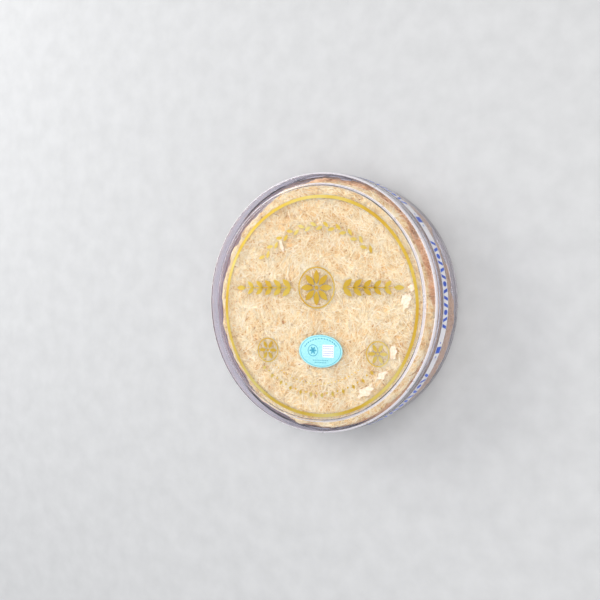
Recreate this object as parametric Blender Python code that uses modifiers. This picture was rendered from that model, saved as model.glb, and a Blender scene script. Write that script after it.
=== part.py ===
"""Edible bird's nest in its clear round box, closed and sealed.

Metres, +Z up. The origin is under the centre of the box, on the surface it stands on.
Seen from above, +Y is the top of the lid's print and +X is its right-hand side.
"""
import math

import bmesh
import bpy
from mathutils import Matrix, Vector, noise

# Driving dimensions of the box, in metres
BOX_RADIUS = 0.1000
BOX_HEIGHT = 0.0500
WALL = 0.0015
GAP = 0.0003

# Lid: a raised panel that the next box in a stack fits over, a shoulder and a skirt
PANEL_RADIUS = 0.0910
PANEL_RISE = 0.0020
PANEL_DRAFT = 0.0005
LID_CORNER = 0.0016
SKIRT_LENGTH = 0.0155

# Base: a low neck inside the skirt, a collar flush with it, a wall with draft and a foot ring
NECK_HEIGHT = 0.0070
COLLAR_HEIGHT = 0.0065
STEP_IN = 0.0018
FOOT_RADIUS = 0.0978
FOOT_CORNER = 0.0025
FOOT_RING_WIDTH = 0.0030
FOOT_RISE = 0.0030

# Sealing film round the joint of lid and base
TAPE_THICKNESS = 0.0004
TAPE_WIDTH = 0.0120
TAPE_TOP = 0.0378

# Oval label on the lid's panel
STICKER_LENGTH = 0.0380
STICKER_WIDTH = 0.0250
STICKER_THICKNESS = 0.0003
STICKER_CENTRE = (0.0057, -0.0369)

# Nest: a round pressed mass, a little off centre, with soft lumps on every side
NEST_RADIUS = 0.0918
NEST_CENTRE = (0.0032, -0.0022)
NEST_EDGE = 0.0065
NEST_LIMIT = 0.0955
NEST_TOP = 0.0480
TOP_LUMP = 0.0009
SIDE_LUMP = 0.0024
LUMP_SIZE = 0.0200
SHELVING_FROM = 0.0800
SHELVING_WIDTH = 0.0080
SHELVING_DROP = 0.0020

# Lumps: a seed for the side and one for the top, how much finer and lower the second layer of lumps is,
# and the power by which the side's lumps fade towards the middle
SIDE_SEED = 3.0
TOP_SEED = 8.0
SEED_SHIFT = Vector((1.0, 0.7, 0.3))
SECOND_LAYER_FINER = 2.1
SECOND_LAYER_HEIGHT = 0.5
SIDE_FADE = 4

# Facets
TURN_STEPS = 72
CORNER_STEPS = 3
STICKER_SIDES = 40
NEST_TOP_RINGS = 9
NEST_SIDE_RINGS = 8
NEST_BASE_RINGS = 5

# Heights that follow from the sizes above
SHOULDER_TOP = BOX_HEIGHT - PANEL_RISE
SHOULDER_UNDER = SHOULDER_TOP - WALL
PANEL_UNDER = BOX_HEIGHT - WALL
SKIRT_FOOT = SHOULDER_TOP - SKIRT_LENGTH
COLLAR_TOP = SKIRT_FOOT - GAP
COLLAR_FOOT = COLLAR_TOP - COLLAR_HEIGHT
NECK_TOP = COLLAR_TOP + NECK_HEIGHT
FLOOR_TOP = FOOT_RISE + WALL
NEST_FOOT = FLOOR_TOP + GAP
NECK_RADIUS = BOX_RADIUS - WALL - GAP


def make_collection(name):
    """Return a new collection that is linked to the scene."""
    collection = bpy.data.collections.new(name)
    bpy.context.scene.collection.children.link(collection)
    return collection


def make_material(name, colour, roughness, alpha=1.0, transmission=0.0, ior=1.5):
    """Return a Principled material of one colour."""
    material = bpy.data.materials.new(name)
    material.use_nodes = True
    shader = material.node_tree.nodes["Principled BSDF"]
    shader.inputs["Base Color"].default_value = (*colour, 1.0)
    shader.inputs["Roughness"].default_value = roughness
    shader.inputs["Alpha"].default_value = alpha
    shader.inputs["Transmission Weight"].default_value = transmission
    shader.inputs["IOR"].default_value = ior
    return material


def clear_polystyrene():
    """Clear, glossy moulded polystyrene of the lid and the base."""
    return make_material("clear polystyrene", (0.93, 0.93, 0.95), 0.04, transmission=1.0, ior=1.59)


def dried_nest():
    """Dried cream strands of the nest."""
    return make_material("dried nest strands", (0.87, 0.72, 0.52), 0.55)


def sealing_film():
    """Whitish printed film of the seal."""
    return make_material("sealing film", (0.75, 0.77, 0.86), 0.25)


def sticker_paper():
    """Pale blue label stock."""
    return make_material("pale blue label", (0.37, 0.78, 0.86), 0.40)


def arc(centre, radius, start, end):
    """Return the points of an arc in the XZ plane, with angles in degrees from +X towards +Z."""
    points = []
    for step in range(CORNER_STEPS + 1):
        angle = math.radians(start + (end - start) * step / CORNER_STEPS)
        points.append((centre[0] + radius * math.cos(angle), centre[1] + radius * math.sin(angle)))
    return points


def add_object(name, mesh, material, collection):
    """Link a mesh as a named object with its material."""
    mesh.materials.append(material)
    part = bpy.data.objects.new(name, mesh)
    collection.objects.link(part)
    return part


def turned(name, profile, closed, material, collection):
    """Turn a profile of (radius, height) points round Z with a Screw modifier."""
    points = [(radius, 0.0, height) for radius, height in profile]
    edges = [(i, i + 1) for i in range(len(points) - 1)]
    if closed:
        edges.append((len(points) - 1, 0))
    mesh = bpy.data.meshes.new(name)
    mesh.from_pydata(points, edges, [])
    part = add_object(name, mesh, material, collection)
    screw = part.modifiers.new("Turn", "SCREW")
    screw.steps = TURN_STEPS
    screw.render_steps = TURN_STEPS
    screw.use_merge_vertices = True
    screw.merge_threshold = 0.00001
    screw.use_smooth_shade = True
    return part


def lid_profile():
    """Lid section, from the centre of its top down the outer side and back under the panel."""
    skirt_inside = BOX_RADIUS - WALL
    profile = [(0.0, BOX_HEIGHT), (PANEL_RADIUS, BOX_HEIGHT)]
    profile.append((PANEL_RADIUS + PANEL_DRAFT, SHOULDER_TOP))
    profile += arc((BOX_RADIUS - LID_CORNER, SHOULDER_TOP - LID_CORNER), LID_CORNER, 90, 0)
    profile += [(BOX_RADIUS, SKIRT_FOOT), (skirt_inside, SKIRT_FOOT)]
    profile += [(skirt_inside, SHOULDER_UNDER), (PANEL_RADIUS + PANEL_DRAFT - WALL, SHOULDER_UNDER)]
    profile += [(PANEL_RADIUS - WALL, PANEL_UNDER), (0.0, PANEL_UNDER)]
    return profile


def base_profile():
    """Base section, from the centre of its floor up inside, over the neck and down outside."""
    wall_top = BOX_RADIUS - STEP_IN
    corner_inside = FOOT_CORNER - WALL / 2
    corner_centre = (FOOT_RADIUS - FOOT_CORNER, FOOT_CORNER)
    profile = [(0.0, FLOOR_TOP)]
    inside_centre = (FOOT_RADIUS - WALL - corner_inside, FLOOR_TOP + corner_inside)
    profile += arc(inside_centre, corner_inside, 270, 360)
    profile += [(NECK_RADIUS - WALL, COLLAR_TOP), (NECK_RADIUS - WALL, NECK_TOP)]
    profile += [(NECK_RADIUS - GAP, NECK_TOP), (NECK_RADIUS, NECK_TOP - GAP), (NECK_RADIUS, COLLAR_TOP)]
    profile += [(BOX_RADIUS, COLLAR_TOP), (BOX_RADIUS, COLLAR_FOOT), (wall_top, COLLAR_FOOT - GAP)]
    profile += arc(corner_centre, FOOT_CORNER, 0, -90)
    foot_inside = FOOT_RADIUS - FOOT_CORNER - FOOT_RING_WIDTH
    profile += [(foot_inside, 0.0), (foot_inside - PANEL_DRAFT, FOOT_RISE), (0.0, FOOT_RISE)]
    return profile


def tape_profile():
    """Film section, a thin upright band clear of the skirt and the collar."""
    inside = BOX_RADIUS + GAP
    outside = inside + TAPE_THICKNESS
    foot = TAPE_TOP - TAPE_WIDTH
    return [(inside, TAPE_TOP), (outside, TAPE_TOP), (outside, foot), (inside, foot)]


def nest_profile():
    """Section of the nest before its lumps, from the middle of its top round to its underside."""
    rim = NEST_RADIUS - NEST_EDGE
    top = NEST_TOP - TOP_LUMP
    profile = [(rim * ring / NEST_TOP_RINGS, top) for ring in range(NEST_TOP_RINGS)]
    profile += arc((rim, top - NEST_EDGE), NEST_EDGE, 90, 0)
    side_top = top - NEST_EDGE
    side_foot = NEST_FOOT + NEST_EDGE
    for ring in range(1, NEST_SIDE_RINGS):
        height = side_top + (side_foot - side_top) * ring / NEST_SIDE_RINGS
        profile.append((NEST_RADIUS, height))
    profile += arc((rim, side_foot), NEST_EDGE, 0, -90)
    profile += [(rim * ring / NEST_BASE_RINGS, NEST_FOOT) for ring in range(NEST_BASE_RINGS - 1, -1, -1)]
    return profile


def lumps(point, size, seed):
    """Soft lumps of about the given size, between -1 and 1."""
    place = Vector(point) / size + seed * SEED_SHIFT
    return noise.noise(place) + SECOND_LAYER_HEIGHT * noise.noise(place * SECOND_LAYER_FINER)


def room_for_nest(place):
    """Pull a point of the nest back inside the tray and under the lid's panel and shoulder."""
    reach = math.hypot(place.x, place.y)
    if reach > NEST_LIMIT:
        place.x *= NEST_LIMIT / reach
        place.y *= NEST_LIMIT / reach
    shelving = min(1.0, max(0.0, (reach - SHELVING_FROM) / SHELVING_WIDTH))
    ceiling = NEST_TOP - SHELVING_DROP * shelving
    place.z = max(NEST_FOOT, min(ceiling, place.z))
    return place


def shape_nest(part):
    """Move the turned mass off centre and give it its lumps."""
    graph = bpy.context.evaluated_depsgraph_get()
    mesh = bpy.data.meshes.new_from_object(part.evaluated_get(graph))
    part.modifiers.clear()
    part.data = mesh
    for vertex in mesh.vertices:
        reach = math.hypot(vertex.co.x, vertex.co.y) / NEST_RADIUS
        outward = Vector((vertex.co.x, vertex.co.y, 0.0)).normalized()
        height = (vertex.co.z - NEST_FOOT) / (NEST_TOP - NEST_FOOT)
        place = vertex.co + outward * SIDE_LUMP * reach ** SIDE_FADE * lumps(vertex.co, LUMP_SIZE, SIDE_SEED)
        place += Vector((*NEST_CENTRE, 0.0)) * reach
        place.z += TOP_LUMP * height * lumps(vertex.co, LUMP_SIZE, TOP_SEED)
        vertex.co = room_for_nest(place)


def make_nest(collection):
    """The nest, one lumpy mass."""
    part = turned("nest", nest_profile(), False, dried_nest(), collection)
    bpy.context.view_layer.update()
    shape_nest(part)
    return part


def make_sticker(collection):
    """The oval label, on the lid's panel."""
    mesh = bpy.data.meshes.new("oval_sticker")
    shape = bmesh.new()
    foot = BOX_HEIGHT + GAP
    middle = Matrix.Translation((*STICKER_CENTRE, foot + STICKER_THICKNESS / 2))
    bmesh.ops.create_cone(shape, cap_ends=True, segments=STICKER_SIDES, radius1=0.5, radius2=0.5,
                          depth=STICKER_THICKNESS)
    bmesh.ops.scale(shape, vec=(STICKER_LENGTH, STICKER_WIDTH, 1.0), verts=shape.verts)
    bmesh.ops.transform(shape, matrix=middle, verts=shape.verts)
    shape.to_mesh(mesh)
    shape.free()
    return add_object("oval_sticker", mesh, sticker_paper(), collection)


def main():
    """Build every piece of the boxed nest."""
    for old in list(bpy.data.objects):
        bpy.data.objects.remove(old, do_unlink=True)
    boxed_nest = make_collection("boxed_edible_birds_nest")
    clear = clear_polystyrene()
    turned("box_base", base_profile(), False, clear, boxed_nest)
    turned("lid", lid_profile(), False, clear, boxed_nest)
    turned("seal_tape", tape_profile(), True, sealing_film(), boxed_nest)
    make_nest(boxed_nest)
    make_sticker(boxed_nest)


main()
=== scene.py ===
# %% [markdown]
# # Edible bird's nest in its clear round box
#
# The real object is a flat cake of dried cream threads in a round box of clear plastic. The box has a
# lid with gold foil print, a small pale blue oval label and a printed film that seals it round its side.
#
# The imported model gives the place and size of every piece. This script keeps those and makes the looks:
# moulded clear walls, twenty-three thousand single threads, foil, film and label.

import math

import bpy
import numpy as np
from mathutils import Matrix, Vector, noise
from mathutils.bvhtree import BVHTree


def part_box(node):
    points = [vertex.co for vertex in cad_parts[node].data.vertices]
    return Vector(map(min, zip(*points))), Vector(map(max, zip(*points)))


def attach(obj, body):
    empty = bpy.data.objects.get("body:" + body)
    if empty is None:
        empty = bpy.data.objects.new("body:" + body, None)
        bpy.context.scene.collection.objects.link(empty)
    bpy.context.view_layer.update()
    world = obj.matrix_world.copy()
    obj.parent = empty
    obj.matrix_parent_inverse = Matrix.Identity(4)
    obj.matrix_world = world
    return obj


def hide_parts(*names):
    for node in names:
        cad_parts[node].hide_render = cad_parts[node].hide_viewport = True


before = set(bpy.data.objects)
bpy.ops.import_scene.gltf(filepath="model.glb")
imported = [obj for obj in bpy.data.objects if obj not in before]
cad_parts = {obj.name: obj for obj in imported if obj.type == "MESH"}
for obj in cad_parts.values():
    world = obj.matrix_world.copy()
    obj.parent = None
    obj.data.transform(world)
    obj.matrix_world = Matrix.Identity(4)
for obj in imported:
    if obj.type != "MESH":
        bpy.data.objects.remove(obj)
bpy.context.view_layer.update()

# %% [markdown]
# ## Sizes
#
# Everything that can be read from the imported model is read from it, so the new pieces cannot drift away
# from the solids that they stand for. The few other sizes are named where they are first needed. One
# millimetre is written `MM`, because a box this size is thought of in millimetres.

# %% Sizes read from the model
MM = 0.001
ORIGIN = Vector((0.0, 0.0, 0.0))
lid_low, lid_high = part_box("lid")
_, base_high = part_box("box_base")
nest_low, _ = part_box("nest")
film_low, film_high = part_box("seal_tape")
label_low, label_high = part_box("oval_sticker")

BOX_RADIUS = lid_high.x
LID_TOP = lid_high.z
SKIRT_FOOT = lid_low.z
NECK_TOP = base_high.z
print("lid radius", round(BOX_RADIUS / MM, 1), "mm, lid top", round(LID_TOP / MM, 1), "mm")

# %% [markdown]
# ## Small helpers
#
# Blender's operators act on whatever is selected, so each piece starts from an empty selection. Colours
# are written as the sRGB hex values a designer would pick and turned to linear light by one function.
# One function adds a shader node with its settings and links. Another makes the plain materials, whose
# colour wanders softly between two tints, because no real surface has one even colour.

# %% Helpers for selection, colour and nodes
def select_only(piece=None):
    """Leave edit mode, deselect everything, and select and activate one piece if it is given."""
    if bpy.context.object and bpy.context.object.mode != "OBJECT":
        bpy.ops.object.mode_set(mode="OBJECT")
    bpy.ops.object.select_all(action="DESELECT")
    if piece is not None:
        piece.select_set(True)
        bpy.context.view_layer.objects.active = piece


def linear(hex_colour):
    """An sRGB hex colour such as '#FAE6C8' as linear red, green, blue and alpha."""
    channels = [int(hex_colour[i:i + 2], 16) / 255 for i in (1, 3, 5)]
    return [c / 12.92 if c <= 0.04045 else ((c + 0.055) / 1.055) ** 2.4 for c in channels] + [1.0]


def add(tree, kind, inputs=(), stops=(), **settings):
    """Add a node. inputs pairs a socket's name or number with a value or with an output to link, and
    stops pairs a colour ramp's positions with hex colours."""
    node = tree.nodes.new(kind)
    for name, value in settings.items():
        setattr(node, name, value)
    for socket, value in dict(inputs).items():
        if isinstance(value, bpy.types.NodeSocket):
            tree.links.new(value, node.inputs[socket])
        else:
            node.inputs[socket].default_value = value
    for number, (position, colour) in enumerate(stops):
        elements = node.color_ramp.elements
        stop = elements[number] if number < 2 else elements.new(position)
        stop.position = position
        stop.color = linear(colour)
    return node


def new_material(name):
    """An empty node material and its output node."""
    material = bpy.data.materials.new(name)
    material.use_nodes = True
    material.node_tree.nodes.clear()
    return material, add(material.node_tree, "ShaderNodeOutputMaterial")


def mottled(name, scale, detail, stops, **looks):
    """A material whose colour wanders between the stops of a ramp, by noise of the given scale."""
    material, out = new_material(name)
    tree = material.node_tree
    place = add(tree, "ShaderNodeTexCoord").outputs["Object"]
    mottle = add(tree, "ShaderNodeTexNoise", {"Vector": place, "Scale": scale, "Detail": detail})
    tint = add(tree, "ShaderNodeValToRGB", {"Fac": mottle.outputs["Fac"]}, stops)
    shader = add(tree, "ShaderNodeBsdfPrincipled", {"Base Color": tint.outputs["Color"], **looks})
    tree.links.new(shader.outputs[0], out.inputs["Surface"])
    return material


print("a cream in linear light:", [round(channel, 3) for channel in linear("#FAE6C8")])

# %% Helpers for finishing a piece
def dress(piece, material):
    """Give a piece one material."""
    piece.data.materials.clear()
    piece.data.materials.append(material)


def apply_modifier(piece, kind, **settings):
    """Add a modifier, set it and apply it at once."""
    select_only(piece)
    modifier = piece.modifiers.new(kind.title(), kind)
    for name, value in settings.items():
        setattr(modifier, name, value)
    bpy.ops.object.modifier_apply(modifier=modifier.name)


def joined(pieces, name):
    """Join pieces in one object at the origin."""
    select_only()
    for piece in pieces:
        piece.select_set(True)
    whole = bpy.context.view_layer.objects.active = pieces[0]
    if len(pieces) > 1:
        bpy.ops.object.join()
    whole.name = whole.data.name = name
    return whole


def stand_for(piece, slot, *nodes):
    """Put a finished piece on the one body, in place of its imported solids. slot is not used."""
    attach(piece, "root")
    if nodes:
        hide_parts(*nodes)
    triangles = sum(len(face.vertices) - 2 for face in piece.data.polygons)
    print(piece.name, "has", triangles, "triangles")


# %% [markdown]
# ## Camera, floor and light
#
# The photograph looks down on the box from its right-hand side. Its camera was worked out from the
# ellipse of the lid's rim: it stands about 0.72 m away, tipped 31 degrees from straight above, with a
# lens of about 57 mm on a 36 mm sensor. A turn about Y and a slight nod give exactly that view.

# %% Camera at the photograph's place
CAMERA_PLACE = (0.3606, 0.0101, 0.6743)
CAMERA_LEAN = math.radians(30.87)
CAMERA_NOD = math.radians(-0.64)
LENS = 56.56
SENSOR = 36.0

select_only()
bpy.ops.object.camera_add(location=CAMERA_PLACE, rotation=(CAMERA_NOD, CAMERA_LEAN, 0.0))
camera = bpy.context.object
camera.data.lens = LENS
camera.data.sensor_width = SENSOR
bpy.context.scene.camera = camera
bpy.context.scene.view_settings.view_transform = "Standard"
print("camera is", round((Vector(CAMERA_PLACE) - Vector((0, 0, LID_TOP))).length, 3), "m from the lid")

# %% [markdown]
# The floor is one plain pale sheet. A wide softbox above and to the right, a second one low at the back
# left and a weak one at the front right stand in a pale world, as in a product studio. None of them
# stands where the flat lid would mirror it to the camera, because that glare would hide the nest, and
# the upper one is wide, so that its reflection stays faint from elsewhere. The outer two draw the bright
# lines along the rim and along the edge of the lid's raised panel.

# %% Floor, world and soft lights
FLOOR_SIZE = 16.0
WORLD_STRENGTH = 0.55
LIT_PLACE = Vector((0.0, 0.0, 0.02))


def studio_floor():
    """A wide pale floor with the faint mottle of seamless paper."""
    select_only()
    bpy.ops.mesh.primitive_plane_add(size=FLOOR_SIZE, location=ORIGIN)
    floor = bpy.context.object
    floor.name = "studio_floor"
    greys = [(0.3, "#BDBFC2"), (0.7, "#C4C6C9")]
    dress(floor, mottled("seamless paper", 60.0, 3.0, greys, Roughness=0.8))


def soft_light(name, place, size, watts, tint):
    """A rectangular softbox that faces the middle of the box."""
    select_only()
    bpy.ops.object.light_add(type="AREA", location=place)
    lamp = bpy.context.object
    lamp.name = name
    lamp.data.shape = "RECTANGLE"
    lamp.data.size, lamp.data.size_y = size
    lamp.data.energy = watts
    lamp.data.color = linear(tint)[:3]
    aim = LIT_PLACE - Vector(place)
    lamp.rotation_euler = aim.to_track_quat("-Z", "Y").to_euler()


studio_floor()
world = bpy.data.worlds.new("pale studio")
world.use_nodes = True
background = world.node_tree.nodes["Background"]
background.inputs["Color"].default_value = linear("#F4F6FA")
background.inputs["Strength"].default_value = WORLD_STRENGTH
bpy.context.scene.world = world
soft_light("overhead_softbox", (0.45, 0.08, 1.20), (1.3, 1.2), 12.6, "#FFFAF2")
soft_light("back_left_softbox", (-0.95, 0.45, 0.62), (0.9, 0.5), 9.0, "#FFFDFA")
soft_light("front_right_softbox", (0.85, -0.75, 0.60), (0.5, 0.5), 1.5, "#F6F8FF")
print("floor, world and lights are set")

# %% [markdown]
# ## Clear moulded polystyrene
#
# Boxes like this are moulded from general-purpose polystyrene: water-clear, hard and glossy, with an
# index of refraction of 1.59. A trace of violet toner hides its yellow cast, and shows where one looks
# through several walls. So the shader is plain transmission with a faint tint.
#
# Light from lamps goes straight through by a Transparent shader on shadow rays. Without that, the nest
# under the lid would be lit only by chance hits, and the picture would be noisy.
#
# The outer edges of a real lid rub on other boxes. They get the same plastic, rougher and mostly
# scattering white. The roughness is the rubbing; the white scatter is a painted highlight, which makes
# the bright lines round the rim and round the raised panel from every side.

# %% Clear plastic
def polystyrene(name, clearness, smoothest, roughest):
    """Clear glossy plastic, slightly violet. Where clearness is under 1 the rest scatters light white."""
    material, out = new_material(name)
    tree = material.node_tree
    place = add(tree, "ShaderNodeTexCoord").outputs["Object"]
    waves = add(tree, "ShaderNodeTexNoise", {"Vector": place, "Scale": 25.0, "Detail": 1.0})
    bump = add(tree, "ShaderNodeBump", {
        "Height": waves.outputs["Fac"], "Strength": 0.03, "Distance": 2 * MM})
    rubbing = add(tree, "ShaderNodeTexNoise", {"Vector": place, "Scale": 260.0, "Detail": 2.0})
    roughness = add(tree, "ShaderNodeMapRange", {
        "Value": rubbing.outputs["Fac"], "From Min": 0.3, "From Max": 0.7,
        "To Min": smoothest, "To Max": roughest})
    plastic = add(tree, "ShaderNodeBsdfPrincipled", {
        "Base Color": linear("#F7F4FC"), "Roughness": roughness.outputs[0], "IOR": 1.59,
        "Transmission Weight": clearness, "Normal": bump.outputs["Normal"]})
    through = add(tree, "ShaderNodeBsdfTransparent", {"Color": linear("#FAF9FC")})
    ray = add(tree, "ShaderNodeLightPath")
    either = add(tree, "ShaderNodeMixShader", {
        0: ray.outputs["Is Shadow Ray"], 1: plastic.outputs[0], 2: through.outputs[0]})
    tree.links.new(either.outputs[0], out.inputs["Surface"])
    return material


CLEAR_PLASTIC = polystyrene("clear polystyrene", 1.0, 0.015, 0.03)
# The edge plastic scatters mostly white: a painted highlight along the rim and the panel's edge.
EDGE_HIGHLIGHT = polystyrene("hazy polystyrene edge", 0.30, 0.26, 0.34)
print("clear plastic is ready")

# %% [markdown]
# ## Lid and base
#
# Both are turned shapes. They could be drawn as a profile and spun, or built as a maker at a potter's
# wheel would: one ring, extruded, widened or narrowed and lifted again and again. The second way is
# used here, because each ring is one pair of sizes in a list and the flat middles stay single flat
# faces. A Bevel modifier then rounds every edge as a mould does, and Weighted Normal keeps the flats
# flat.

# %% Turn a shape ring by ring
RING_SIDES = 180
SAME_RADIUS = 1e-7
SHARP_FROM = math.radians(25)
HIGHLIGHT_SLOPES = (0.12, 0.97)


def extrude_ring(radius, height, to_radius, to_height):
    """Extrude the selected ring of edges and move it to its next radius and height."""
    bpy.ops.mesh.extrude_edges_move()
    if abs(to_radius - radius) > SAME_RADIUS:
        widen = to_radius / radius
        bpy.ops.transform.resize(value=(widen, widen, 1.0), center_override=ORIGIN)
    bpy.ops.transform.translate(value=(0.0, 0.0, to_height - height))


def turned_by_rings(name, rings, closed=False):
    """A turned solid from (radius, height) rings. Its ends are filled flat, or joined if it is closed."""
    select_only()
    (radius, height), rest = rings[0], rings[1:]
    bpy.ops.mesh.primitive_circle_add(vertices=RING_SIDES, radius=radius, location=(0.0, 0.0, height))
    piece = bpy.context.object
    piece.name = piece.data.name = name
    bpy.ops.object.transform_apply(location=True)
    bpy.ops.object.mode_set(mode="EDIT")
    bpy.ops.mesh.select_mode(type="EDGE")
    bpy.ops.mesh.select_all(action="SELECT")
    if not closed:
        bpy.ops.mesh.edge_face_add()
    for next_radius, next_height in rest:
        extrude_ring(radius, height, next_radius, next_height)
        radius, height = next_radius, next_height
    if closed:
        bpy.ops.mesh.select_all(action="DESELECT")
        bpy.ops.mesh.select_non_manifold()
        bpy.ops.mesh.bridge_edge_loops()
    else:
        bpy.ops.mesh.edge_face_add()
    bpy.ops.mesh.select_all(action="SELECT")
    bpy.ops.mesh.normals_make_consistent(inside=False)
    bpy.ops.object.mode_set(mode="OBJECT")
    return piece


def soften(piece, width, segments=3):
    """Round the sharp edges and keep the flats flat, as on a moulding."""
    apply_modifier(piece, "BEVEL", width=width, segments=segments, limit_method="ANGLE",
                   angle_limit=SHARP_FROM)
    select_only(piece)
    bpy.ops.object.shade_smooth()
    apply_modifier(piece, "WEIGHTED_NORMAL", weight=80, keep_sharp=False)


def rounded_corner(radius, top, corner, steps=4):
    """Rings over a rounded outer corner, from the flat on its top down to its wall."""
    turns = [math.pi / 2 * i / steps for i in range(steps + 1)]
    return [(radius - corner * (1 - math.sin(t)), top - corner * (1 - math.cos(t))) for t in turns]


def paint_edge_highlight(piece, above):
    """Give the rounded outer edges over a height the white-scattering finish that paints their highlight
    lines.
    """
    piece.data.materials.append(EDGE_HIGHLIGHT)
    steepest, flattest = HIGHLIGHT_SLOPES
    for face in piece.data.polygons:
        if face.center.z > above and steepest < face.normal.z < flattest:
            face.material_index = 1


print("a rounded corner has", len(rounded_corner(10 * MM, 0.0, 2 * MM)), "rings")

# %% [markdown]
# The lid has a raised round panel, on which the next box of a stack is centred, and a skirt that goes down
# over the base's neck. Its rings are listed from the panel's top out over both rounded corners, down the
# skirt and back along the inside, one wall's thickness further in.

# %% Lid
WALL = 1.5 * MM
GAP = 0.3 * MM
EDGE_ROUND = 0.4 * MM
PANEL_RADIUS = 91.0 * MM
PANEL_RISE = 2.0 * MM
PANEL_DRAFT = 0.5 * MM
PANEL_BORDER = 3.0 * MM
PANEL_FLAT = PANEL_RADIUS - PANEL_BORDER
PANEL_ROUND = 1.0 * MM
LID_CORNER = 2.2 * MM
PANEL_UNDER = LID_TOP - WALL
SHOULDER_TOP = LID_TOP - PANEL_RISE
SHOULDER_UNDER = SHOULDER_TOP - WALL

lid_rings = [(PANEL_FLAT, LID_TOP)] + rounded_corner(PANEL_RADIUS, LID_TOP, PANEL_ROUND)
lid_rings.append((PANEL_RADIUS + PANEL_DRAFT, SHOULDER_TOP))
lid_rings += rounded_corner(BOX_RADIUS, SHOULDER_TOP, LID_CORNER)
lid_rings += [
    (BOX_RADIUS, SKIRT_FOOT), (BOX_RADIUS - WALL, SKIRT_FOOT), (BOX_RADIUS - WALL, SHOULDER_UNDER),
    (PANEL_RADIUS + PANEL_DRAFT - WALL, SHOULDER_UNDER), (PANEL_RADIUS - WALL, PANEL_UNDER),
    (PANEL_FLAT - WALL, PANEL_UNDER),
]
clear_lid = turned_by_rings("clear_lid", lid_rings)
soften(clear_lid, EDGE_ROUND)
dress(clear_lid, CLEAR_PLASTIC)
paint_edge_highlight(clear_lid, SHOULDER_TOP - LID_CORNER)
stand_for(clear_lid, "clear_plastic", "lid")

# %% [markdown]
# The base has a low neck that slides inside the lid's skirt, and a collar flush with the skirt, so that the
# sealing film lies flat over the joint. Underneath, a foot ring stands round a recess, which fits over
# the raised panel of the next box in a stack. The round dimple in the middle is where the plastic
# entered the mould.

# %% Base
FOOT_RADIUS = 97.8 * MM
FOOT_CORNER = 2.5 * MM
FOOT_RING_WIDTH = 3.0 * MM
FOOT_RISE = 3.0 * MM
COLLAR_HEIGHT = 6.5 * MM
STEP_IN = 1.8 * MM
GATE_RADIUS = 5.0 * MM
GATE_DEPTH = 0.5 * MM
GATE_TAPER = 0.9
CORNER_CUT = 0.3
FLOOR_BORDER = 3
FLOOR_TOP = FOOT_RISE + WALL
NECK_RADIUS = BOX_RADIUS - WALL - GAP
COLLAR_TOP = SKIRT_FOOT - GAP
COLLAR_FOOT = COLLAR_TOP - COLLAR_HEIGHT

foot_inside = FOOT_RADIUS - FOOT_CORNER - FOOT_RING_WIDTH
inner_corner = FOOT_CORNER - WALL / 2
inner_wall = FOOT_RADIUS - WALL
base_rings = [
    (inner_wall - FLOOR_BORDER * inner_corner, FLOOR_TOP), (inner_wall - inner_corner, FLOOR_TOP),
    (inner_wall - CORNER_CUT * inner_corner, FLOOR_TOP + CORNER_CUT * inner_corner),
    (inner_wall, FLOOR_TOP + inner_corner), (NECK_RADIUS - WALL, COLLAR_TOP),
    (NECK_RADIUS - WALL, NECK_TOP), (NECK_RADIUS, NECK_TOP), (NECK_RADIUS, COLLAR_TOP),
    (BOX_RADIUS, COLLAR_TOP), (BOX_RADIUS, COLLAR_FOOT), (BOX_RADIUS - STEP_IN, COLLAR_FOOT - GAP),
    (FOOT_RADIUS, FOOT_CORNER), (FOOT_RADIUS - CORNER_CUT * FOOT_CORNER, CORNER_CUT * FOOT_CORNER),
    (FOOT_RADIUS - FOOT_CORNER, 0.0), (foot_inside, 0.0), (foot_inside - PANEL_DRAFT, FOOT_RISE),
    (foot_inside - FOOT_RING_WIDTH, FOOT_RISE), (GATE_RADIUS, FOOT_RISE),
    (GATE_TAPER * GATE_RADIUS, FOOT_RISE + GATE_DEPTH),
]
clear_base = turned_by_rings("clear_base", base_rings)
soften(clear_base, EDGE_ROUND)
dress(clear_base, CLEAR_PLASTIC)
stand_for(clear_base, "clear_plastic", "box_base")

# %% [markdown]
# ## The nest's body
#
# The nest is made of threads that swiftlets draw out of saliva, which dry to a stiff cream felt. It is
# sold cleaned and pressed flat. Two things are needed: a body that fills the gaps between the threads,
# and the threads. The body starts as a cylinder with a rounded rim, is remeshed to even small faces, and
# gets its lumps from noise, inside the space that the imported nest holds. As in the photograph, the cake
# has slumped a few millimetres along its right-hand edge and a little less at the back, and it swells
# towards the tray's wall on both sides of the deeper slump and, by a trace, at the back left.

# %% Nest body
NEST_RADIUS = 92.2 * MM
NEST_CENTRE = Vector((2.9 * MM, -2.0 * MM, 0.0))
NEST_EDGE = 6.5 * MM
NEST_LIMIT = 95.2 * MM
NEST_TOP = 47.3 * MM
NEST_FOOT = nest_low.z
LUMP_SIZE = 20 * MM
TUFT_SIZE = 8 * MM
TOP_LUMP = 0.9 * MM
SIDE_LUMP = 2.4 * MM
TOP_TUFT = 0.35 * MM
SIDE_TUFT = 1.8 * MM
SHELVING_FROM = 80 * MM
SHELVING_WIDTH = 8 * MM
SHELVING_DROP = 2 * MM
VOXEL = 1.3 * MM
SLUMP_FROM = 90 * MM
SLUMP_WIDTH = 2.5 * MM
SLUMPS = [(18, 17, 4.0 * MM), (74, 36, 2.2 * MM)]
FULL_SIDES = [(-45, 46, 2.2 * MM), (76, 36, 4.2 * MM), (150, 40, 0.7 * MM)]
SOFT_DEGREES = 8


def lumps(place, size, seed):
    """Soft lumps of about the given size, between -1 and 1."""
    spot = place / size + Vector((seed, seed * 0.7, seed * 0.3))
    return noise.noise(spot) + 0.5 * noise.noise(spot * 2.1)


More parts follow.
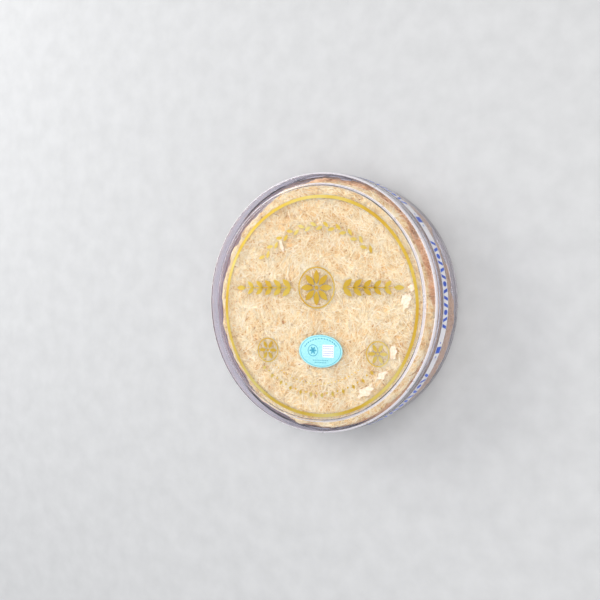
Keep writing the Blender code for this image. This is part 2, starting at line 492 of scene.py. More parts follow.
def room_for_nest(place, margin=0.0):
    """Pull a point back inside the tray and under the lid's panel and shoulder."""
    limit = NEST_LIMIT + margin
    reach = math.hypot(place.x, place.y)
    if reach > limit:
        place.x *= limit / reach
        place.y *= limit / reach
    shelving = min(1.0, max(0.0, (reach - SHELVING_FROM) / SHELVING_WIDTH))
    ceiling = NEST_TOP + margin - SHELVING_DROP * shelving
    place.z = max(NEST_FOOT - margin / 4, min(ceiling, place.z))
    return place


def towards(place, bearing, spread):
    """1 for places within spread of a bearing, both in degrees, and 0 past it, with a soft border."""
    off = abs((math.degrees(math.atan2(place.y, place.x)) - bearing + 180) % 360 - 180)
    return min(1.0, max(0.0, (spread - off) / SOFT_DEGREES + 0.5))


def lumpy(co):
    """The nest's form: a pressed disc, off centre and lumpy, slumped here and swollen there."""
    side = (math.hypot(co.x, co.y) / NEST_RADIUS) ** 4
    height = (co.z - NEST_FOOT) / (NEST_TOP - NEST_FOOT)
    outward = Vector((co.x, co.y, 0.0)).normalized()
    swell = SIDE_LUMP * lumps(co, LUMP_SIZE, 3.0) + SIDE_TUFT * lumps(co, TUFT_SIZE, 5.0)
    swell += sum(extra * towards(co, bearing, spread) for bearing, spread, extra in FULL_SIDES)
    place = co + outward * side * swell
    place += NEST_CENTRE * math.hypot(co.x, co.y) / NEST_RADIUS
    outer = min(1.0, max(0.0, (math.hypot(place.x, place.y) - SLUMP_FROM) / SLUMP_WIDTH))
    for bearing, spread, drop in SLUMPS:
        place.z -= height * outer * drop * towards(place, bearing, spread)
    place.z += height * (TOP_LUMP * lumps(co, LUMP_SIZE, 8.0) + TOP_TUFT * lumps(co, TUFT_SIZE, 2.0))
    return room_for_nest(place)


def nest_body():
    """The lumpy body under the threads."""
    select_only()
    depth = NEST_TOP - NEST_FOOT - TOP_LUMP
    bpy.ops.mesh.primitive_cylinder_add(vertices=128, radius=NEST_RADIUS, depth=depth,
                                        location=(0.0, 0.0, NEST_FOOT + depth / 2))
    body = bpy.context.object
    body.name = body.data.name = "nest_body"
    bpy.ops.object.transform_apply(location=True)
    apply_modifier(body, "BEVEL", width=NEST_EDGE, segments=5, limit_method="ANGLE")
    apply_modifier(body, "REMESH", mode="VOXEL", voxel_size=VOXEL)
    for vertex in body.data.vertices:
        vertex.co = lumpy(vertex.co.copy())
    select_only(body)
    bpy.ops.object.shade_smooth()
    return body


body = nest_body()
print("nest body spans", [round(side / MM, 1) for side in body.dimensions], "mm")

# %% [markdown]
# Dried threads are cream where light goes through them, with tan patches, and a few are brown.
# A tone is the sum of three things: patches of about a centimetre, finer mottle of 3 mm, and a value that
# each thread carries as an attribute on its faces. One colour ramp turns it into the creams of the top
# and a second one into a darker, warmer honey on the side and underside, which is painted shade with a
# warm painted bounce of light. The height decides between the two.

# %% Dried nest material
TOP_COLOURS = [(0.0, "#F5F0D4"), (0.25, "#F0E6BC"), (0.5, "#E8D199"), (0.75, "#D6AE6C"), (1.0, "#9A6639")]
# The side ramp is darker and warmer than the top's: painted shade with a warm painted bounce of light.
SIDE_SHADE_COLOURS = [(0.0, "#EFD1AB"), (0.25, "#E6BD8F"), (0.5, "#D8A674"), (0.75, "#C08556"), (1.0, "#84532B")]
# The body is darker than the threads: painted shade where it shows between them.
FELT_SHADE_TONE = 0.55
SIDE_SHADE_FROM = 43.8 * MM
SIDE_SHADE_UNDER = 41.5 * MM


def dried_nest(name, own_tone):
    """Cream dried saliva, satin, with patches, and painted honey shade low down. own_tone reads the tone
    that a thread carries.
    """
    material, out = new_material(name)
    tree = material.node_tree
    place = add(tree, "ShaderNodeTexCoord").outputs["Object"]
    patches = add(tree, "ShaderNodeTexNoise", {
        "Vector": place, "Scale": 95.0, "Detail": 3.0, "Roughness": 0.55})
    mottle = add(tree, "ShaderNodeTexNoise", {"Vector": place, "Scale": 330.0, "Detail": 2.0})
    broad = add(tree, "ShaderNodeMapRange", {
        "Value": patches.outputs["Fac"], "From Min": 0.45, "From Max": 0.70, "To Min": 0.0, "To Max": 0.26})
    fine = add(tree, "ShaderNodeMapRange", {
        "Value": mottle.outputs["Fac"], "From Min": 0.3, "From Max": 0.7, "To Min": -0.10, "To Max": 0.12})
    tone = FELT_SHADE_TONE
    if own_tone:
        tone = add(tree, "ShaderNodeAttribute", attribute_name="tone").outputs["Fac"]
    for part in (broad, fine):
        tone = add(tree, "ShaderNodeMath", {0: tone, 1: part.outputs[0]}, operation="ADD").outputs[0]
    height = add(tree, "ShaderNodeSeparateXYZ", {0: place}).outputs["Z"]
    # Towards the bottom of the cake the colour turns to the side ramp: painted shade on the side and
    # underside.
    depth = add(tree, "ShaderNodeMapRange", {
        "Value": height, "From Min": SIDE_SHADE_UNDER, "From Max": SIDE_SHADE_FROM, "To Min": 1.0, "To Max": 0.0})
    cream = add(tree, "ShaderNodeValToRGB", {"Fac": tone}, TOP_COLOURS)
    side_shade = add(tree, "ShaderNodeValToRGB", {"Fac": tone}, SIDE_SHADE_COLOURS)
    colour = add(tree, "ShaderNodeMix", {0: depth.outputs[0], 6: cream.outputs[0], 7: side_shade.outputs[0]},
                 data_type="RGBA")
    shader = add(tree, "ShaderNodeBsdfPrincipled", {"Base Color": colour.outputs[2], "Roughness": 0.45})
    tree.links.new(shader.outputs[0], out.inputs["Surface"])
    return material


BODY_FELT = dried_nest("dried nest felt", own_tone=False)
THREAD = dried_nest("dried nest threads", own_tone=True)
dress(body, BODY_FELT)
stand_for(body, "nest_strands", "nest")

# %% [markdown]
# ## The threads
#
# Each thread is a flat-sided tube that wanders over the body, dips in at both ends and rides over others
# in between. Neighbours run much the same way, in locks a centimetre or so across, because the bird
# laid them side by side. Hair curves would be the obvious tool, but they are not mesh and would be lost
# when the part leaves Blender. So each path is walked here point by point over the body's surface, and
# the tubes are joined in sheets of a few thousand. The headings come from `noise_vector`, which is seeded
# from the clock if no seed is set. It gets a fixed one, so that every run lays the same threads.

# %% Walk one thread over the body
THREAD_POINTS = 6
THREAD_ROOM = 1.0 * MM
LOCK_SIZE = 13 * MM
STRAY = 0.22
BEND = 32.0
DIP = 0.25 * MM
rng = np.random.default_rng(12)
noise.seed_set(12)
surface = BVHTree.FromPolygons([v.co for v in body.data.vertices], [p.vertices for p in body.data.polygons])


def starts_on(count, wanted):
    """Random places on the faces of the body that wanted(normal) accepts, spread by area."""
    faces = sorted((f for f in body.data.polygons if wanted(f.normal)), key=lambda face: tuple(face.center))
    areas = np.array([face.area for face in faces])
    chosen = rng.choice(len(faces), size=count, p=areas / areas.sum())
    return [(faces[i].center.copy(), faces[i].normal.copy()) for i in chosen]


def walk(place, normal, length, rise):
    """One thread's points over the body and the surface normals at them."""
    heading = noise.noise_vector(place / LOCK_SIZE) + STRAY * Vector(rng.normal(size=3))
    if rng.random() < 0.5:
        heading.negate()
    bend = rng.normal(0.0, BEND)
    step = length / (THREAD_POINTS - 1)
    points, normals = [], []
    for i in range(THREAD_POINTS):
        heading = (heading - normal * heading.dot(normal)).normalized()
        lift = rise * math.sin(math.pi * i / (THREAD_POINTS - 1)) - DIP
        points.append(room_for_nest(place + normal * lift, THREAD_ROOM))
        normals.append(normal)
        heading = (heading + normal.cross(heading) * bend * step).normalized()
        place, normal, _, _ = surface.find_nearest(place + heading * step)
    return points, normals


example_start = starts_on(1, lambda normal: normal.z > 0.9)[0]
points, _ = walk(*example_start, length=10 * MM, rise=1 * MM)
print("a thread on the top:", [tuple(round(side / MM, 1) for side in point) for point in points])

# %% Make three-sided tubes along many paths
CORNERS = [math.radians(turn) for turn in (90, 210, 330)]
FLATTEN = 0.7
FIRST_TAPER = 0.18


def unit(vectors):
    """The vectors of an array brought to length one."""
    return vectors / (np.linalg.norm(vectors, axis=-1, keepdims=True) + 1e-12)


def tube_vertices(paths, ups, half_widths):
    """The corner points of a tube round every path, narrowing to its ends."""
    along = unit(np.gradient(paths, axis=1))
    across = unit(np.cross(ups, along))
    over = np.cross(along, across) * FLATTEN
    taper = np.sin(np.linspace(FIRST_TAPER, math.pi - FIRST_TAPER, THREAD_POINTS)) ** 0.5
    half = half_widths[:, None, None] * taper[None, :, None]
    rings = [paths + half * (across * math.cos(a) + over * math.sin(a)) for a in CORNERS]
    return np.stack(rings, axis=2).reshape(-1, 3)


def tube_faces():
    """The faces of one tube, three to a step, and its two end caps."""
    faces = []
    for start in range(0, 3 * (THREAD_POINTS - 1), 3):
        for side in range(3):
            after = (side + 1) % 3
            faces.append((start + side, start + after, start + 3 + after, start + 3 + side))
    last = 3 * (THREAD_POINTS - 1)
    return faces + [(2, 1, 0), (last, last + 1, last + 2)]


print("one thread has", len(tube_faces()), "faces")

# %% Join the tubes in a sheet
TONE_SPREAD = 0.13
TONE_LIMITS = (-0.2, 0.95)
BROWN_TONE = 0.85
BROWN_SHARE = 0.003


def thread_sheet(name, count, wanted, length, width, rise, tone):
    """count threads over the wanted side of the body, in one mesh, with a tone of its own on each."""
    walks = [walk(*start, rng.uniform(*length), rng.uniform(*rise)) for start in starts_on(count, wanted)]
    paths = np.array([points for points, _ in walks])
    ups = np.array([normals for _, normals in walks])
    vertices = tube_vertices(paths, ups, rng.uniform(*width, size=count) / 2)
    one = tube_faces()
    corners = 3 * THREAD_POINTS
    faces = [tuple(corner + k * corners for corner in face) for k in range(count) for face in one]
    mesh = bpy.data.meshes.new(name)
    mesh.from_pydata(vertices.tolist(), [], faces)
    tones = np.clip(rng.normal(tone, TONE_SPREAD, size=count), *TONE_LIMITS)
    tones[rng.random(count) < BROWN_SHARE] = BROWN_TONE
    layer = mesh.attributes.new("tone", "FLOAT", "FACE")
    layer.data.foreach_set("value", np.repeat(tones, len(one)).astype(np.float32))
    sheet = bpy.data.objects.new(name, mesh)
    bpy.context.scene.collection.objects.link(sheet)
    select_only(sheet)
    bpy.ops.object.shade_smooth()
    dress(sheet, THREAD)
    stand_for(sheet, "nest_strands")


# %% [markdown]
# The top gets two sheets, a darker lower one of wider threads and a pale upper one of fine threads,
# so that the gaps between the pale threads show tan: the lower sheet's darker tone is painted shade in
# the gaps. The side and the underside get one each. A last sheet is a hundred or so brown specks, the
# bits of down that cleaning left behind.

# %% Lay the sheets of threads
RIM_SLOPE = 0.35
SIDE_SLOPE = 0.6


def on_top(normal):
    """True on the nest's upper face and its rounded rim."""
    return normal.z > RIM_SLOPE


def on_side(normal):
    """True on the nest's side."""
    return -SIDE_SLOPE < normal.z < SIDE_SLOPE


def underneath(normal):
    """True on the nest's underside."""
    return normal.z < -RIM_SLOPE


LOWER = {"length": (7 * MM, 14 * MM), "width": (0.7 * MM, 1.1 * MM), "rise": (0.3 * MM, 0.8 * MM)}
UPPER = {"length": (8 * MM, 18 * MM), "width": (0.4 * MM, 0.8 * MM), "rise": (0.6 * MM, 1.3 * MM)}
SPECK = {"length": (1.0 * MM, 2.4 * MM), "width": (0.5 * MM, 0.9 * MM), "rise": (1.0 * MM, 1.5 * MM)}
SHEETS = [
    # The lower sheet is darker: painted shade in the gaps of the felt.
    ("top_threads_lower_painted_shade", 6100, on_top, 0.34, LOWER),
    ("top_threads_upper", 6100, on_top, 0.15, UPPER),
    ("side_threads", 5800, on_side, 0.25, UPPER),
    ("underside_threads", 5000, underneath, 0.15, LOWER),
    ("brown_specks", 110, on_top, 0.92, SPECK),
]
for name, count, wanted, tone, form in SHEETS:
    thread_sheet(name, count, wanted, tone=tone, **form)

# %% [markdown]
# Here and there a wide pale flake of the dried stuff is pressed flat against the lid, most of them
# towards the right-hand edge. They are a little paler and smoother than the threads. Each one is a small
# grid drawn in to an oval, whose outline is torn and whose face is creased by noise, thickened with
# Solidify. They are listed by place, turn, length and width, in millimetres and degrees.

# %% Pale flakes under the lid
FLAKE_TOP = LID_TOP - WALL - 0.15 * MM
FLAKE_THICKNESS = 0.12 * MM
FLAKE_CREASE = 0.1 * MM
BROAD_TEAR = 0.7
FINE_TEAR = 0.6
FLAKE_COLOURS = [(0.38, "#E6D2AC"), (0.62, "#F3E7CC")]
FLAKE_PLACES = [
    (77, 2, 70, 13, 6), (81, 12, 60, 7, 4), (66, -36, 75, 12, 5), (57, -53, 30, 8, 5), (43, -66, 35, 15, 6),
    (-30, 44, 110, 8, 3),
]


def pale_flake(x, y, turn, length, width, seed):
    """One flat flake with a torn outline."""
    select_only()
    bpy.ops.mesh.primitive_grid_add(x_subdivisions=28, y_subdivisions=20, size=2.0)
    flake = bpy.context.object
    for vertex in flake.data.vertices:
        across, up = vertex.co.x, vertex.co.y
        round_x, round_y = across * math.sqrt(1 - up * up / 2), up * math.sqrt(1 - across * across / 2)
        spot = Vector((round_x, round_y, 3.7 * seed))
        torn = 1 + BROAD_TEAR * noise.noise(spot * 1.4) + FINE_TEAR * noise.noise(spot * 3.6)
        vertex.co = Vector((spot.x * length / 2, spot.y * width / 2, 0.0)) * torn * MM
        vertex.co.z = FLAKE_CREASE * noise.noise(spot * 5.0)
    apply_modifier(flake, "SOLIDIFY", thickness=FLAKE_THICKNESS, offset=0.0)
    flake.rotation_euler.z = math.radians(turn)
    flake.location = (x * MM, y * MM, FLAKE_TOP)
    bpy.ops.object.transform_apply(location=True, rotation=True)
    bpy.ops.object.shade_smooth()
    return flake


flakes = joined([pale_flake(*place, seed) for seed, place in enumerate(FLAKE_PLACES)], "pale_flakes")
dress(flakes, mottled("pressed pale flakes", 500.0, 2.0, FLAKE_COLOURS, Roughness=0.35))
stand_for(flakes, "nest_strands")

# %% [markdown]
# ## Gold foil print
#
# Such lids are decorated by hot stamping: a heated die presses gold foil on the plastic. It is far too
# thin to be a solid of its own, so it is drawn here as very thin mesh on the lid's top. The plain ring
# follows the photograph, and inside it stands a plain ornament of leaves, lozenges and dots.
#
# Every motif is modelled once, lying along +X from the origin, and its copies are moved in mesh data.

# %% Foil motifs, each modelled once
FOIL_LIFT = 0.02 * MM
FOIL_THICKNESS = 0.03 * MM
FOIL_CENTRE = Vector((2.0 * MM, -2.5 * MM, 0.0))


def flat_ring(radius, width, sides=48):
    """A flat ring of foil round the origin, extruded outwards from its inner circle."""
    select_only()
    inner = radius - width / 2
    bpy.ops.mesh.primitive_circle_add(vertices=sides, radius=inner)
    ring = bpy.context.object
    bpy.ops.object.mode_set(mode="EDIT")
    bpy.ops.mesh.select_all(action="SELECT")
    extrude_ring(inner, 0.0, radius + width / 2, 0.0)
    bpy.ops.object.mode_set(mode="OBJECT")
    return ring


def flat_leaf(length, width, sides=14, point=1.0):
    """A leaf with pointed ends, or a plain oval if point is 0, shaped from a filled circle."""
    select_only()
    bpy.ops.mesh.primitive_circle_add(vertices=sides, radius=0.5, fill_type="NGON")
    leaf = bpy.context.object
    for vertex in leaf.data.vertices:
        narrowing = max(0.0, 1 - 4 * vertex.co.x ** 2) ** (0.5 * point)
        vertex.co = Vector(((vertex.co.x + 0.5) * length, vertex.co.y * narrowing * width, 0.0))
    return leaf


def stamped(motif, place, turn=0.0, size=1.0):
    """A copy of a motif with its own mesh, scaled, turned and moved in its mesh data."""
    copy = motif.copy()
    copy.data = motif.data.copy()
    bpy.context.scene.collection.objects.link(copy)
    move = Matrix.Translation((place[0], place[1], 0.0))
    copy.data.transform(move @ Matrix.Rotation(turn, 4, "Z") @ Matrix.Scale(size, 4))
    return copy


def printed(motifs, name, thickness, place):
    """Motifs joined in one print, given their thickness and moved to their place."""
    whole = joined(motifs, name)
    apply_modifier(whole, "SOLIDIFY", thickness=thickness, offset=0.0)
    whole.data.transform(Matrix.Translation(place))
    return whole


leaf = flat_leaf(length=10 * MM, width=4.4 * MM)
stem = flat_leaf(length=50 * MM, width=1.1 * MM)
lozenge = flat_leaf(length=4.6 * MM, width=3.0 * MM, sides=4, point=0.0)
dot = flat_leaf(length=1.8 * MM, width=1.8 * MM, sides=12, point=0.0)
print("a leaf is", [round(side / MM, 1) for side in leaf.dimensions], "mm")

# %% [markdown]
# A rosette stands in the middle with a spray of leaves on either side, a garland above it, and below it
# two small rosettes and two arcs of lozenges and dots. An arc is listed by its radius, its first and last
# angle and its step, in degrees round the ring's centre.

# %% Lay out the ornament
RING_RADIUS = 83.6 * MM
RING_LINE = 2.4 * MM
ROSETTE_PLACE = (0.0, 14 * MM)
MEDALLIONS = [(-44 * MM, -35 * MM), (52 * MM, -35 * MM)]
ROSETTE_RING = 13.5 * MM
HEART_BACK = 1.4 * MM
HEART_SIZE = 1.55
PETAL_ROOT = 2.4 * MM
PETAL_SIZE = 0.95
SPRAY_FROM = 19 * MM
SPRAY_TIP = 46 * MM
TIP_SIZE = 0.85
PAIRS = 5
PAIR_LEAN = 0.72
PAIR_SHRINK = 0.06
GARLAND = (61 * MM, 40, 140, 5)
GARLAND_LEAN = 0.5
LOZENGES = (66 * MM, 226, 314, 4)
DOTS = (59 * MM, 232, 308, 3)


def rosette(place, petals, size, line):
    """A flower of leaves in a thin ring."""
    x, y = place
    ring = flat_ring(ROSETTE_RING * size, line)
    prints = [stamped(ring, place), stamped(dot, (x - HEART_BACK * size, y), size=HEART_SIZE * size)]
    bpy.data.objects.remove(ring)
    for i in range(petals):
        angle = 2 * math.pi * i / petals
        root = (x + PETAL_ROOT * size * math.cos(angle), y + PETAL_ROOT * size * math.sin(angle))
        prints.append(stamped(leaf, root, angle, PETAL_SIZE * size))
    return prints


def spray(side):
    """A stem with pairs of leaves on the right (side 1) or left (side -1) of the rosette."""
    heading = 0.0 if side > 0 else math.pi
    x, y = ROSETTE_PLACE
    prints = [stamped(stem, (x + side * SPRAY_FROM, y), heading)]
    for i in range(PAIRS):
        root = (x + side * (SPRAY_FROM + (4 + 8.6 * i) * MM), y)
        for lean in (-PAIR_LEAN, PAIR_LEAN):
            prints.append(stamped(leaf, root, heading + lean, 1.0 - PAIR_SHRINK * i))
    prints.append(stamped(leaf, (x + side * (SPRAY_FROM + SPRAY_TIP), y), heading, TIP_SIZE))
    return prints


def along_arc(radius, first, last, step):
    """Places along an arc round the ring's centre and their angles, from degrees."""
    for degrees in np.arange(first, last + 0.1, step):
        angle = math.radians(degrees)
        yield (radius * math.cos(angle), radius * math.sin(angle)), angle


prints = [flat_ring(RING_RADIUS, RING_LINE, sides=RING_SIDES)]
prints += rosette(ROSETTE_PLACE, petals=8, size=1.15, line=1.0 * MM) + spray(1) + spray(-1)
for place in MEDALLIONS:
    prints += rosette(place, petals=6, size=0.68, line=0.9 * MM)
for i, (place, angle) in enumerate(along_arc(*GARLAND)):
    lean = GARLAND_LEAN if i % 2 else -GARLAND_LEAN
    prints.append(stamped(leaf, place, angle + math.pi / 2 + lean, size=0.62))
for i, (place, angle) in enumerate(along_arc(*LOZENGES)):
    prints.append(stamped(dot if i % 2 else lozenge, place, angle, size=0.9))
prints += [stamped(dot, place, angle, size=0.6) for place, angle in along_arc(*DOTS)]
print("the print has", len(prints), "motifs")

# %% [markdown]
# Gold foil is a lacquered layer of aluminium: fully metallic, a little rough from the plastic under it,
# with patches where it took more or less heat from the die. Its colour is the lacquer's yellow.

# %% Gold foil
def gold_foil():
    """Hot-stamped gold foil: metallic yellow with soft lighter and darker patches."""
    material, out = new_material("hot-stamped gold foil")
    tree = material.node_tree
    place = add(tree, "ShaderNodeTexCoord").outputs["Object"]
    heat = add(tree, "ShaderNodeTexNoise", {"Vector": place, "Scale": 28.0, "Detail": 2.0})
    tint = add(tree, "ShaderNodeValToRGB", {"Fac": heat.outputs["Fac"]},
               [(0.35, "#EEC24A"), (0.5, "#F8D763"), (0.68, "#FFEC92")])
    grain = add(tree, "ShaderNodeTexNoise", {"Vector": place, "Scale": 900.0, "Detail": 2.0})
    dent = add(tree, "ShaderNodeBump", {
        "Height": grain.outputs["Fac"], "Strength": 0.2, "Distance": 0.2 * MM})
    shader = add(tree, "ShaderNodeBsdfPrincipled", {
        "Base Color": tint.outputs["Color"], "Metallic": 1.0, "Roughness": 0.34,
        "Normal": dent.outputs["Normal"]})
    tree.links.new(shader.outputs[0], out.inputs["Surface"])
    return material


foil_place = FOIL_CENTRE + Vector((0.0, 0.0, LID_TOP + FOIL_LIFT + FOIL_THICKNESS / 2))
foil = printed(prints, "gold_foil_print", FOIL_THICKNESS, foil_place)
dress(foil, gold_foil())
stand_for(foil, "clear_plastic")

# %% [markdown]
# ## Sealing film
#
# A narrow film goes once round the joint of lid and base, and overlaps itself for a finger's width. It
# is clear, with a white printed ground that leaves a clear margin along both edges. The ground's cover
# could be a texture, but it depends on the height alone, so one colour ramp is enough.

# %% Film
FILM_THICKNESS = 0.12 * MM
FILM_LIFT = 0.06 * MM
FILM_RADIUS = BOX_RADIUS + FILM_LIFT + FILM_THICKNESS
FILM_MIDDLE = (film_low.z + film_high.z) / 2
OVERLAP_FROM, OVERLAP_TO = 196, 204
COVER = [(0.0, "#282828"), (0.11, "#282828"), (0.14, "#EEEEEE"), (0.86, "#EEEEEE"), (0.89, "#282828")]


def sealing_film():
    """Thin glossy polypropylene film with a white ground between two clear margins."""
    material, out = new_material("polypropylene film")
    tree = material.node_tree
    place = add(tree, "ShaderNodeTexCoord").outputs["Object"]
    height = add(tree, "ShaderNodeSeparateXYZ", {0: place}).outputs["Z"]
    across = add(tree, "ShaderNodeMapRange", {
        "Value": height, "From Min": film_low.z, "From Max": film_high.z})
    cover = add(tree, "ShaderNodeValToRGB", {"Fac": across.outputs[0]}, COVER)
    creases = add(tree, "ShaderNodeTexNoise", {"Vector": place, "Scale": 130.0, "Detail": 2.0})
    dent = add(tree, "ShaderNodeBump", {
        "Height": creases.outputs["Fac"], "Strength": 0.15, "Distance": 0.5 * MM})
    white = add(tree, "ShaderNodeValToRGB", {"Fac": creases.outputs["Fac"]},
                [(0.35, "#F3F1F9"), (0.65, "#FEFDFF")])
    shader = add(tree, "ShaderNodeBsdfPrincipled", {
        "Base Color": white.outputs["Color"], "Roughness": 0.22, "IOR": 1.49,
        "Alpha": cover.outputs["Color"], "Normal": dent.outputs["Normal"]})
    tree.links.new(shader.outputs[0], out.inputs["Surface"])
    return material


def film_overlap(first, last):
    """A short length of film over the band's end, between two angles in degrees."""
    select_only()
    bpy.ops.mesh.primitive_cylinder_add(
        vertices=RING_SIDES, radius=FILM_RADIUS + FILM_LIFT, depth=film_high.z - film_low.z,
        end_fill_type="NOTHING", location=(0.0, 0.0, FILM_MIDDLE))
    overlap = bpy.context.object
    bpy.ops.object.transform_apply(location=True)
    bpy.ops.object.mode_set(mode="EDIT")
    bpy.ops.mesh.select_mode(type="FACE")
    bpy.ops.mesh.select_all(action="DESELECT")
    bpy.ops.object.mode_set(mode="OBJECT")
    for face in overlap.data.polygons:
        angle = math.degrees(math.atan2(face.center.y, face.center.x)) % 360
        face.select = not first < angle < last
    bpy.ops.object.mode_set(mode="EDIT")
    bpy.ops.mesh.delete(type="FACE")
    bpy.ops.object.mode_set(mode="OBJECT")
    apply_modifier(overlap, "SOLIDIFY", thickness=FILM_THICKNESS, offset=1.0)
    return overlap


film_rings = [
    (FILM_RADIUS, film_high.z), (FILM_RADIUS, film_low.z),
    (FILM_RADIUS - FILM_THICKNESS, film_low.z), (FILM_RADIUS - FILM_THICKNESS, film_high.z),
]
band = turned_by_rings("printed_film", film_rings, closed=True)
film = joined([band, film_overlap(OVERLAP_FROM, OVERLAP_TO)], "printed_film")
bpy.ops.object.shade_smooth_by_angle(angle=math.radians(30))
dress(film, sealing_film())
stand_for(film, "sealing_film", "seal_tape")

# %% [markdown]
# The film's blue print repeats six times round the box: a block between two dots, then a run of
# slanting bars and ovals. It is laid out flat, as the printer's plate is, with x along the film and
# y up it, and is then wrapped round the box: x becomes the distance round it.

# %% Blue print on the film
INK_THICKNESS = 0.02 * MM
INK_LIFT = 0.03 * MM
FILM_REPEATS = 6
REPEAT_DEGREES = 58.0
PRINT_FROM = 206.0
BLOCK_AT = 18.0
BAR_PITCH = 5.2 * MM
BAR_WIDTH = 2.3 * MM
BAR_HEIGHT = 7.2 * MM
BAR_LEAN = 1.8 * MM
OVAL_LENGTH = 4.2 * MM
DOTS_BESIDE = (-6.4 * MM, 4.8 * MM)
RUN_FROM = 18 * MM
RUN = "/\\o//\\o/\\/o\\/"


def flat_bar(width, height, lean=0.0):
    """An upright bar, its top end shifted sideways by lean. Three faces wide, so that it can bend."""
    select_only()
    bpy.ops.mesh.primitive_grid_add(x_subdivisions=3, y_subdivisions=1, size=1.0)
    bar = bpy.context.object
    for vertex in bar.data.vertices:
        vertex.co = Vector((vertex.co.x * width + vertex.co.y * lean, vertex.co.y * height, 0.0))
    return bar


def wrapped(print_piece, radius):
    """Bend a flat print round the box: x becomes the distance round it, y the height, z the lift."""
    for vertex in print_piece.data.vertices:
        turn = vertex.co.x / radius
        reach = radius + vertex.co.z
        vertex.co = Vector((reach * math.cos(turn), reach * math.sin(turn), vertex.co.y))


def printing_ink(name, darker, lighter):
    """Satin printing ink that took a little unevenly."""
    return mottled(name, 300.0, 2.0, [(0.35, darker), (0.65, lighter)], Roughness=0.35)


block = flat_bar(width=5.2 * MM, height=7.4 * MM)
bars = {"/": flat_bar(BAR_WIDTH, BAR_HEIGHT, BAR_LEAN), "\\": flat_bar(BAR_WIDTH, BAR_HEIGHT, -BAR_LEAN)}
bars["o"] = flat_leaf(length=OVAL_LENGTH, width=6.6 * MM, sides=8, point=0.0)
bars["o"].data.transform(Matrix.Translation((-OVAL_LENGTH / 2, 0.0, 0.0)))
marks = []
for repeat in range(FILM_REPEATS):
    middle = math.radians(PRINT_FROM + repeat * REPEAT_DEGREES + BLOCK_AT) * FILM_RADIUS
    marks.append(stamped(block, (middle, 0.0)))
    for side in DOTS_BESIDE:
        marks.append(stamped(dot, (middle + side, 0.0), size=0.9))
    for i, kind in enumerate(RUN):
        marks.append(stamped(bars[kind], (middle + RUN_FROM + i * BAR_PITCH, 0.0)))
film_print = printed(marks, "blue_film_print", INK_THICKNESS, (0.0, FILM_MIDDLE, INK_LIFT))
wrapped(film_print, FILM_RADIUS)
dress(film_print, printing_ink("blue film ink", "#003FB4", "#0058D6"))
stand_for(film_print, "sealing_film")

# %% [markdown]
# ## Oval label
#
# A small die-cut label in pale blue paper, coated and satin. It is an extruded oval with a softly rounded
# edge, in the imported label's place and as thin as real paper.

# %% Label
LABEL_CENTRE = (label_low + label_high) / 2
LABEL_HALF = (label_high - label_low) / 2
LABEL_LIFT = 0.07 * MM
LABEL_THICKNESS = 0.14 * MM
LABEL_TOP = LID_TOP + LABEL_LIFT + LABEL_THICKNESS
LABEL_ROUND = 0.05 * MM
PAPER_COLOURS = [(0.3, "#90D6E1"), (0.7, "#A5E2EA")]


def oval_label():
    """An oval of paper with a softly rounded edge, extruded from a filled circle."""
    select_only()
    low = LID_TOP + LABEL_LIFT
    bpy.ops.mesh.primitive_circle_add(vertices=96, radius=1.0, fill_type="NGON")
    label = bpy.context.object
    label.name = label.data.name = "oval_label"
    bpy.ops.object.mode_set(mode="EDIT")
    bpy.ops.mesh.select_all(action="SELECT")
    bpy.ops.transform.resize(value=(LABEL_HALF.x, LABEL_HALF.y, 1.0), center_override=ORIGIN)
    bpy.ops.transform.translate(value=(LABEL_CENTRE.x, LABEL_CENTRE.y, low))
    bpy.ops.mesh.extrude_region_move(TRANSFORM_OT_translate={"value": (0.0, 0.0, LABEL_THICKNESS)})
    bpy.ops.mesh.select_all(action="SELECT")
    bpy.ops.mesh.normals_make_consistent(inside=False)
    bpy.ops.object.mode_set(mode="OBJECT")
    apply_modifier(label, "BEVEL", width=LABEL_ROUND, segments=2, limit_method="ANGLE")
    bpy.ops.object.shade_smooth_by_angle(angle=math.radians(40))
    return label


label = oval_label()
dress(label, mottled("coated label paper", 900.0, 3.0, PAPER_COLOURS, Roughness=0.4, IOR=1.5))
stand_for(label, "label_paper", "oval_sticker")

# %% [markdown]
# The label's print is laid out from the motifs that the lid and the film already have: a thin oval line
# with a garland inside it, a rosette on the left, a lilac lattice on a white square on the right and two
# rows of dashes below. One mesh is made for each ink.

# %% Print on the label
LINE_REACH = 0.92
GARLAND_REACH = (0.78, 0.76)
FLOWER_AT = (-6.6 * MM, 0.4 * MM)
FLOWER_RING = 4.3 * MM
FLOWER_PETALS = 6
SQUARE_AT = (6.6 * MM, 0.2 * MM)
SQUARE_SIDE = 9.6 * MM
LATTICE_PITCH = 1.75 * MM
HALF_DOT = 0.6 * MM
DASH_PITCH = 1.5 * MM
DASH_ROWS = [(-7.0 * MM, 4), (-8.7 * MM, 3)]


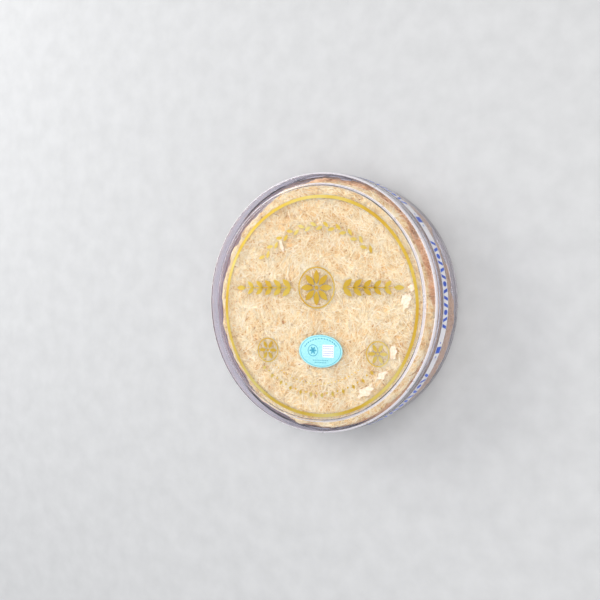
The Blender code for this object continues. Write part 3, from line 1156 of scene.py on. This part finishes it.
def on_label(height):
    """The place of a print over the label's paper."""
    return Vector((LABEL_CENTRE.x, LABEL_CENTRE.y, LABEL_TOP + height))


oval_line = flat_ring(LINE_REACH * LABEL_HALF.y, width=0.3 * MM, sides=72)
oval_line.data.transform(Matrix.Scale(LABEL_HALF.x / LABEL_HALF.y, 4, (1, 0, 0)))
flower_ring = flat_ring(FLOWER_RING, width=0.55 * MM)
flower_ring.data.transform(Matrix.Translation((*FLOWER_AT, 0.0)))
blue_marks = [oval_line, flower_ring]
for i in range(FLOWER_PETALS):
    blue_marks.append(stamped(leaf, FLOWER_AT, 2 * math.pi * i / FLOWER_PETALS, size=0.33))
for degrees in range(22, 160, 10):
    turn = math.radians(degrees)
    across, up = GARLAND_REACH
    spot = (across * LABEL_HALF.x * math.cos(turn), up * LABEL_HALF.y * math.sin(turn))
    blue_marks.append(stamped(leaf, spot, turn + math.pi / 2, size=0.2))
dash = flat_bar(width=1.0 * MM, height=0.55 * MM)
for row, half in DASH_ROWS:
    blue_marks += [stamped(dash, (i * DASH_PITCH, row)) for i in range(-half, half + 1)]
white_square = printed([flat_bar(SQUARE_SIDE, SQUARE_SIDE)], "white_label_print", INK_THICKNESS,
                       on_label(INK_LIFT) + Vector((*SQUARE_AT, 0.0)))
steps = [LATTICE_PITCH * i for i in (-2, -1, 0, 1, 2)]
first_x, first_y = SQUARE_AT[0] - HALF_DOT, SQUARE_AT[1]
lilac_marks = [stamped(dot, (first_x + x, first_y + y), size=0.67) for x in steps for y in steps]
lilac_print = printed(lilac_marks, "lilac_label_print", INK_THICKNESS, on_label(2 * INK_LIFT))
blue_print = printed(blue_marks, "blue_label_print", INK_THICKNESS, on_label(INK_LIFT))
inks = {
    white_square: ("#EEF6FB", "#FBFDFF"), lilac_print: ("#8E9CD8", "#A6B2E6"),
    blue_print: ("#3A97B6", "#4FAAC6"),
}
for piece, colours in inks.items():
    dress(piece, printing_ink(piece.name.replace("_", " ") + " ink", *colours))
    stand_for(piece, "label_paper")
for motif in (leaf, stem, lozenge, dot, block, dash, *bars.values()):
    bpy.data.objects.remove(motif)
